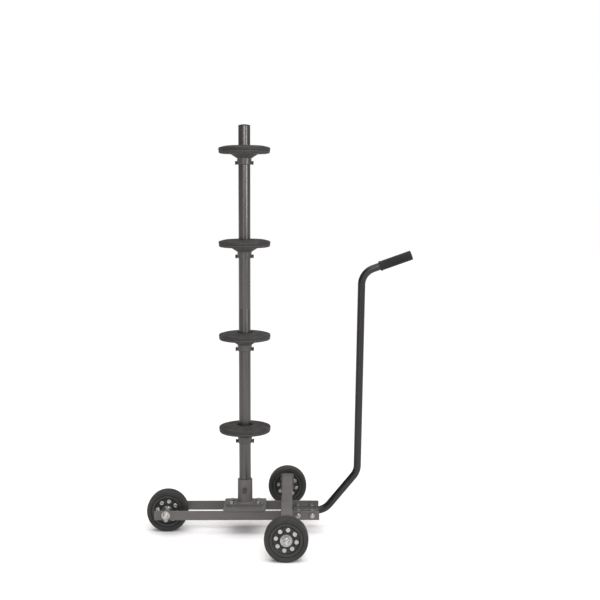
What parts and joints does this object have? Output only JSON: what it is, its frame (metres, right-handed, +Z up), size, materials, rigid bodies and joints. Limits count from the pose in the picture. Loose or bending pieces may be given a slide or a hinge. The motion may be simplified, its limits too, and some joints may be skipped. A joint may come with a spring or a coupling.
{
  "type": "wheel dolly",
  "caption": "Mobile wheel tree: a vertical pole with clamped rest discs on a rolling three-wheeled base with a bent tube handle.",
  "frame": {"origin": "on the floor, under the middle of the whole stand; the pole stands 99 mm towards the tail wheel from it", "axes": "+X from the pole to the handle, +Z up along the pole, +Y along the main axle"},
  "size_m": [0.7602, 0.57, 1.163],
  "materials": {
    "pole_paint": "semi-gloss dark grey powder coat",
    "handle_paint": "gloss black paint",
    "bar_paint": "satin mid-grey paint",
    "disc_paint": "fine-textured charcoal powder coat on cast aluminium",
    "pad_rubber": "matt charcoal rubber",
    "grip_rubber": "matt black rubber",
    "tyre_rubber": "solid black rubber",
    "rim_plastic": "moulded black nylon",
    "cap_plastic": "black polyethylene",
    "zinc_steel": "bright zinc plate",
    "black_screw": "blackened steel",
    "bearing_steel": "ground steel"
  },
  "bodies": {
    "frame": {"near_side_bar": "bar_paint", "far_side_bar": "bar_paint", "cross_beam": "bar_paint", "axle_plates": "bar_paint", "main_axle": "zinc_steel", "axle_nuts": "zinc_steel", "axle_washers": "zinc_steel", "tail_axle_bolt": "zinc_steel", "tail_axle_spacers": "zinc_steel", "base_plate": "bar_paint", "pole_socket": "bar_paint", "socket_bolts": "zinc_steel", "socket_nuts": "zinc_steel", "pole_lock_bolt": "black_screw", "pole_lower": "pole_paint", "pole_sleeve": "zinc_steel", "pole_upper": "pole_paint", "pole_cap": "cap_plastic", "handle_tube": "handle_paint", "handle_grip": "grip_rubber", "handle_plug": "cap_plastic", "handle_bolts": "zinc_steel", "handle_nuts": "zinc_steel", "handle_spacers": "zinc_steel"},
    "tail_wheel": {"tail_wheel_tyre": "tyre_rubber", "tail_wheel_outer_rim": "rim_plastic", "tail_wheel_inner_rim": "rim_plastic", "tail_wheel_rim_bolts": "zinc_steel", "tail_wheel_rim_nuts": "zinc_steel", "tail_wheel_bearings": "bearing_steel"},
    "near_wheel": {"near_wheel_tyre": "tyre_rubber", "near_wheel_outer_rim": "rim_plastic", "near_wheel_inner_rim": "rim_plastic", "near_wheel_rim_bolts": "zinc_steel", "near_wheel_rim_nuts": "zinc_steel", "near_wheel_bearings": "bearing_steel"},
    "far_wheel": {"far_wheel_tyre": "tyre_rubber", "far_wheel_outer_rim": "rim_plastic", "far_wheel_inner_rim": "rim_plastic", "far_wheel_rim_bolts": "zinc_steel", "far_wheel_rim_nuts": "zinc_steel", "far_wheel_bearings": "bearing_steel"},
    "disc_1": {"rest_disc_1": "disc_paint", "disc_pad_1": "pad_rubber"},
    "clamp_1_left": {"clamp_screw_1_left": "black_screw"},
    "clamp_1_right": {"clamp_screw_1_right": "black_screw"},
    "disc_2": {"rest_disc_2": "disc_paint", "disc_pad_2": "pad_rubber"},
    "clamp_2_left": {"clamp_screw_2_left": "black_screw"},
    "clamp_2_right": {"clamp_screw_2_right": "black_screw"},
    "disc_3": {"rest_disc_3": "disc_paint", "disc_pad_3": "pad_rubber"},
    "clamp_3_left": {"clamp_screw_3_left": "black_screw"},
    "clamp_3_right": {"clamp_screw_3_right": "black_screw"},
    "disc_4": {"rest_disc_4": "disc_paint", "disc_pad_4": "pad_rubber"},
    "clamp_4_left": {"clamp_screw_4_left": "black_screw"},
    "clamp_4_right": {"clamp_screw_4_right": "black_screw"}
  },
  "joints": [
    {"name": "tail_wheel_spin", "type": "hinge", "parent": "frame", "child": "tail_wheel", "pos_m": [-0.321, 0, 0.059], "axis": [0, 1, 0], "continuous": true},
    {"name": "near_wheel_spin", "type": "hinge", "parent": "frame", "child": "near_wheel", "pos_m": [0.021, -0.253, 0.059], "axis": [0, 1, 0], "continuous": true},
    {"name": "far_wheel_spin", "type": "hinge", "parent": "frame", "child": "far_wheel", "pos_m": [0.021, 0.253, 0.059], "axis": [0, 1, 0], "continuous": true},
    {"name": "disc_1_slide", "type": "slide", "parent": "frame", "child": "disc_1", "axis": [0, 0, 1], "range_m": [-0.1, 0.1]},
    {"name": "clamp_1_left_turn", "type": "hinge", "parent": "disc_1", "child": "clamp_1_left", "pos_m": [-0.1201, 0, 0.259], "axis": [-1, 0, 0], "range_deg": [0, 360]},
    {"name": "clamp_1_right_turn", "type": "hinge", "parent": "disc_1", "child": "clamp_1_right", "pos_m": [-0.0779, 0, 0.259], "axis": [1, 0, 0], "range_deg": [0, 360]},
    {"name": "disc_2_slide", "type": "slide", "parent": "frame", "child": "disc_2", "axis": [0, 0, 1], "range_m": [-0.1, 0.1]},
    {"name": "clamp_2_left_turn", "type": "hinge", "parent": "disc_2", "child": "clamp_2_left", "pos_m": [-0.1201, 0, 0.524], "axis": [-1, 0, 0], "range_deg": [0, 360]},
    {"name": "clamp_2_right_turn", "type": "hinge", "parent": "disc_2", "child": "clamp_2_right", "pos_m": [-0.0779, 0, 0.524], "axis": [1, 0, 0], "range_deg": [0, 360]},
    {"name": "disc_3_slide", "type": "slide", "parent": "frame", "child": "disc_3", "axis": [0, 0, 1], "range_m": [-0.1, 0.1]},
    {"name": "clamp_3_left_turn", "type": "hinge", "parent": "disc_3", "child": "clamp_3_left", "pos_m": [-0.1201, 0, 0.789], "axis": [-1, 0, 0], "range_deg": [0, 360]},
    {"name": "clamp_3_right_turn", "type": "hinge", "parent": "disc_3", "child": "clamp_3_right", "pos_m": [-0.0779, 0, 0.789], "axis": [1, 0, 0], "range_deg": [0, 360]},
    {"name": "disc_4_slide", "type": "slide", "parent": "frame", "child": "disc_4", "axis": [0, 0, 1], "range_m": [-0.1, 0.055]},
    {"name": "clamp_4_left_turn", "type": "hinge", "parent": "disc_4", "child": "clamp_4_left", "pos_m": [-0.1201, 0, 1.054], "axis": [-1, 0, 0], "range_deg": [0, 360]},
    {"name": "clamp_4_right_turn", "type": "hinge", "parent": "disc_4", "child": "clamp_4_right", "pos_m": [-0.0779, 0, 1.054], "axis": [1, 0, 0], "range_deg": [0, 360]}
  ]
}
